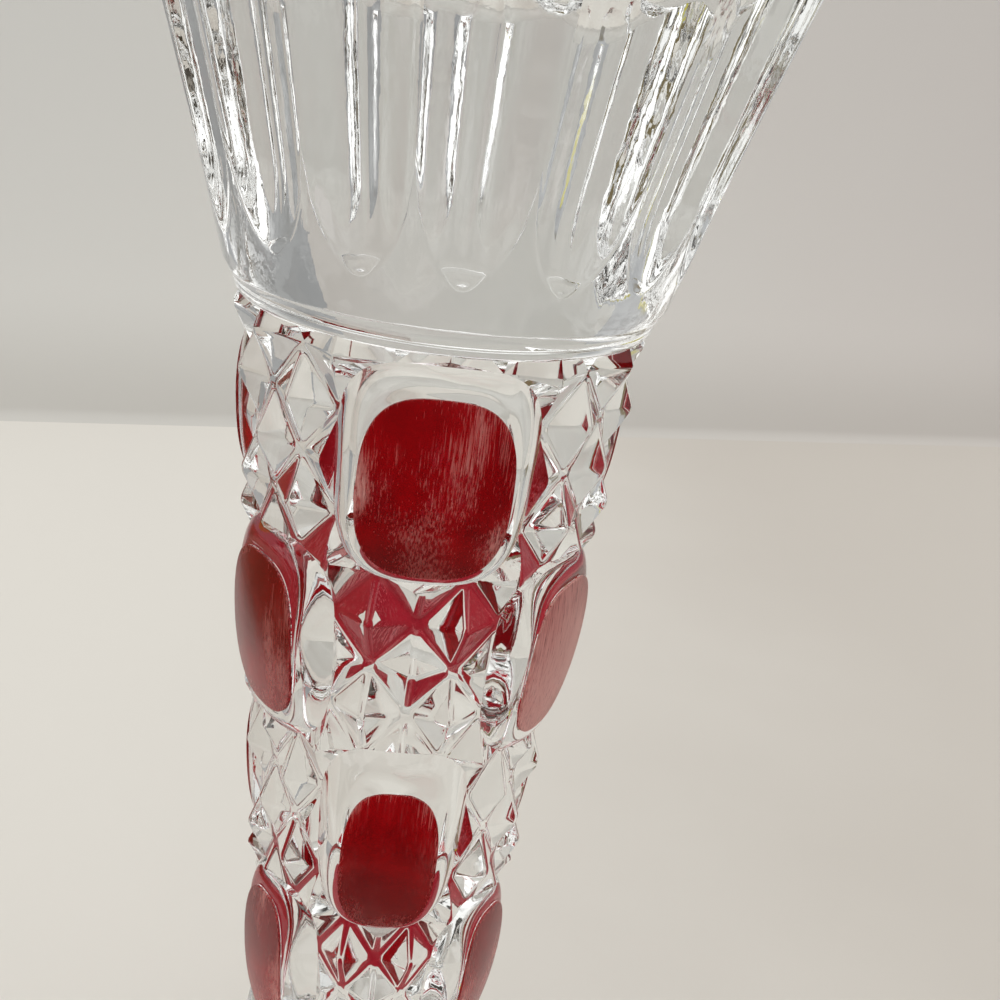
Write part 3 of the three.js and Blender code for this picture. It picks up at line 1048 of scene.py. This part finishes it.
class BUDVASE_OT_ruby(bpy.types.Operator):
    """Build the thin ruby layers that cap the medallions"""

    bl_idname = "bud_vase.build_ruby"
    bl_label = "Build Ruby Layers"

    def execute(self, context):
        settings = context.scene.bud_vase
        sizes = settings.sizes
        materials = [ruby_material(settings.glass), ruby_inside_material(settings.glass)]
        for place in medallions(sizes):
            under = sizes.ruby_clearance
            over = under + sizes.ruby_thickness
            inside = dome_rings(sizes, place, under)[::-1]
            outside = dome_rings(sizes, place, over)
            slots = [1] * (len(inside) - 1) + [0] * len(outside)
            mesh = rolled_sheet(inside + outside, slots)
            layer = mesh.verts.layers.float.new("wear")
            half = ruby_half_size(sizes, place)
            back = place.matrix.inverted()
            spots = wear_spots(place)
            for vert in mesh.verts:
                local = back @ vert.co
                across = local.x / half[0]
                up = (local.y + place.drop) / half[1]
                vert[layer] = wear_at(across, up, spots)
            piece = new_object(f"ruby_flash_{place.name[-2:]}", mesh, materials)
            require_closed(piece.data, piece.name)
            piece.data.shade_smooth()
            piece.data.set_sharp_from_angle(angle=CRISP_ANGLE)
            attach(piece, BODY)
            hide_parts(place.name)
        return {"FINISHED"}


def wear_spots(place):
    """Rubbed patches on one ruby layer: the chosen ones, or some by chance near its edge."""
    if place.name[-2:] in WORN_PATCHES:
        return WORN_PATCHES[place.name[-2:]]
    chance = random.Random(place.name)
    spots = []
    for _ in range(PATCHES_ELSEWHERE):
        turn = chance.uniform(0, 2 * math.pi)
        reach = chance.uniform(*PATCH_REACH)
        size = chance.uniform(*PATCH_SIZE)
        strength = chance.uniform(*PATCH_STRENGTH)
        spots.append((reach * math.cos(turn), reach * math.sin(turn), size, size * PATCH_STRETCH, strength))
    return spots


def wear_at(across, up, spots):
    """How rubbed a point of a ruby layer is, by its patches and by how near its edge it lies."""
    most = 0.0
    for x, y, width, height, strength in spots:
        reach = ((across - x) / width) ** 2 + ((up - y) / height) ** 2
        most = max(most, strength * math.exp(-reach))
    edge = (abs(across) ** RUBY_SQUARENESS + abs(up) ** RUBY_SQUARENESS) ** (1 / RUBY_SQUARENESS)
    return max(most, WORN_EDGE * max(0.0, (edge - WORN_EDGE_START) / (1 - WORN_EDGE_START)))


class BUDVASE_OT_studio(bpy.types.Operator):
    """Set up the pale floor and backdrop, the soft light all round and the camera"""

    bl_idname = "bud_vase.set_up_studio"
    bl_label = "Set Up Studio"

    def execute(self, context):
        studio = context.scene.bud_vase.studio
        self.backdrop(studio)
        self.soft_light(context.scene, studio)
        self.camera(context.scene, studio)
        self.image_settings(context.scene)
        return {"FINISHED"}

    def backdrop(self, studio):
        """A floor that runs back to a leaning backdrop, one bent sheet with edges out of the picture."""
        along = Vector((math.cos(studio.wall_turn), math.sin(studio.wall_turn), 0))
        away = Vector((-along.y, along.x, 0))
        fold = away * studio.wall_distance + along * (LEFT_SIDE + RIGHT_SIDE) / 2
        top = fold + away * WALL_HEIGHT * math.tan(studio.wall_lean) + Vector((0, 0, WALL_HEIGHT))
        mesh = bmesh.new()
        front = [mesh.verts.new(away * -FLOOR_FRONT + along * side) for side in (LEFT_SIDE, RIGHT_SIDE)]
        edge = mesh.edges.new(front)
        for target in (fold, top):
            grown = bmesh.ops.extrude_edge_only(mesh, edges=[edge])["geom"]
            verts = [item for item in grown if isinstance(item, bmesh.types.BMVert)]
            edge = next(item for item in grown if isinstance(item, bmesh.types.BMEdge))
            start = sum((vert.co for vert in verts), Vector()) / 2
            bmesh.ops.translate(mesh, verts=verts, vec=target - start)
        crease = [item for item in mesh.edges if len(item.link_faces) == 2]
        bmesh.ops.bevel(mesh, geom=crease, offset=FOLD_ROUND, offset_type="OFFSET", segments=FOLD_STEPS,
                        profile=0.5, affect="EDGES", material=-1)
        bmesh.ops.translate(mesh, verts=mesh.verts, vec=(0, 0, -FLOOR_DROP))
        bmesh.ops.recalc_face_normals(mesh, faces=mesh.faces)
        for face in mesh.faces:
            face.material_index = 0 if face.calc_center_median().z < 0 else 1
            face.smooth = True
        # The floor and backdrop carry painted shade towards the right, and the backdrop a painted shadow at
        # its foot
        floor = stage_material("studio_floor", studio.floor_colour, FLOOR_SHADED, FLOOR_SHADE_SPAN, 0.0)
        wall = stage_material(
            "studio_backdrop", studio.wall_colour, WALL_SHADED, WALL_SHADE_SPAN, WALL_FOOT_SHADE)
        new_object("studio_sweep", mesh, [floor, wall])

    def soft_light(self, scene, studio):
        """A soft room: bright above, grey beyond the vase, dark with panels of light round the camera."""
        world = bpy.data.worlds.new("soft_room")
        world.use_nodes = True
        tree = world.node_tree
        tree.nodes.clear()
        direction = node(tree, "ShaderNodeTexCoord").outputs["Generated"]
        part = node(tree, "ShaderNodeSeparateXYZ", {"Vector": direction}).outputs
        lit = ramp(tree, noise(tree, direction, PANEL_WAVES, 1.5), *PANEL_EDGE)
        table = blend_colours(tree, lit, PALE_TABLE, DARK_TABLE)
        panelled = blend_colours(tree, lit, DARK_ROOM, PANEL_LIGHT)
        to_camera = maths(tree, "MULTIPLY", part["Y"], -1.0)
        table = blend_colours(tree, ramp(tree, to_camera, 0.55, 0.75), table, NEAR_TABLE)
        front = blend_colours(tree, ramp(tree, part["Z"], -0.06, 0.0), table, panelled)
        room = blend_colours(tree, ramp(tree, to_camera, -0.25, -0.15), FAR_WALLS, front)
        to_left = ramp(tree, part["X"], -0.5, -0.65)
        low_left = maths(tree, "MULTIPLY", to_left, ramp(tree, part["Z"], 0.0, -0.08))
        room = blend_colours(tree, low_left, room, LOW_LEFT)
        to_plant = node(tree, "ShaderNodeVectorMath", {0: direction, 1: PLANT_DIRECTION},
                        operation="DOT_PRODUCT").outputs["Value"]
        room = blend_colours(tree, ramp(tree, to_plant, 0.984, 0.990), room, PLANT)
        above = blend_colours(tree, ramp(tree, part["Z"], 0.45, 0.75), room, CEILING)
        seen = node(tree, "ShaderNodeLightPath").outputs["Is Camera Ray"]
        shown = blend_colours(tree, seen, above, SHOWN_ROOM)
        from_left = ramp(tree, part["X"], -0.8, 0.8, 1.15, 0.85)
        strength = maths(tree, "MULTIPLY", from_left, studio.light_strength)
        sky = node(tree, "ShaderNodeBackground", {"Color": shown, "Strength": strength})
        node(tree, "ShaderNodeOutputWorld", {"Surface": sky.outputs[0]})
        scene.world = world

    def camera(self, scene, studio):
        data = bpy.data.cameras.new("camera")
        data.lens = studio.camera_lens
        data.sensor_width = SENSOR_WIDTH
        data.clip_start = 0.01
        data.clip_end = 20
        made = bpy.data.objects.new("camera", data)
        scene.collection.objects.link(made)
        yaw, pitch = studio.camera_yaw, studio.camera_pitch
        ahead = Vector((math.sin(yaw) * math.cos(pitch), math.cos(yaw) * math.cos(pitch), -math.sin(pitch)))
        right = Vector((math.cos(yaw), -math.sin(yaw), 0))
        upright = Matrix((right, right.cross(ahead), -ahead)).transposed()
        turned = upright @ Matrix.Rotation(studio.camera_roll, 3, "Z")
        made.matrix_world = Matrix.Translation(studio.camera_place) @ turned.to_4x4()
        scene.camera = made

    def image_settings(self, scene):
        scene.view_settings.view_transform = "Standard"
        scene.cycles.max_bounces = 28
        scene.cycles.transmission_bounces = 24
        scene.cycles.glossy_bounces = 12
        scene.cycles.transparent_max_bounces = 48
        scene.cycles.diffuse_bounces = 3
        scene.cycles.blur_glossy = 0.3
        scene.cycles.use_denoising = True


class BUDVASE_PT_panel(bpy.types.Panel):
    """Lists the pieces of the bud vase"""

    bl_label = "Bud Vase"
    bl_idname = "BUDVASE_PT_panel"
    bl_space_type = "VIEW_3D"
    bl_region_type = "UI"
    bl_category = "Bud Vase"

    def draw(self, context):
        column = self.layout.column()
        for operator in OPERATORS:
            column.operator(operator.bl_idname)
        settings = context.scene.bud_vase
        for group in (settings.sizes, settings.glass, settings.studio):
            box = self.layout.box()
            for name in group.bl_rna.properties.keys():
                if name not in ("rna_type", "name"):
                    box.prop(group, name)


OPERATORS = (BUDVASE_OT_crystal, BUDVASE_OT_ruby, BUDVASE_OT_studio)
CLASSES = (VaseSizes, GlassFinish, StudioSettings, BudVaseSettings, *OPERATORS, BUDVASE_PT_panel)


def register():
    for item in CLASSES:
        bpy.utils.register_class(item)
    bpy.types.Scene.bud_vase = bpy.props.PointerProperty(type=BudVaseSettings)


def unregister():
    del bpy.types.Scene.bud_vase
    for item in reversed(CLASSES):
        bpy.utils.unregister_class(item)


def main():
    register()
    bpy.ops.bud_vase.build_crystal()
    bpy.ops.bud_vase.build_ruby()
    bpy.ops.bud_vase.set_up_studio()


if __name__ == "__main__":
    main()
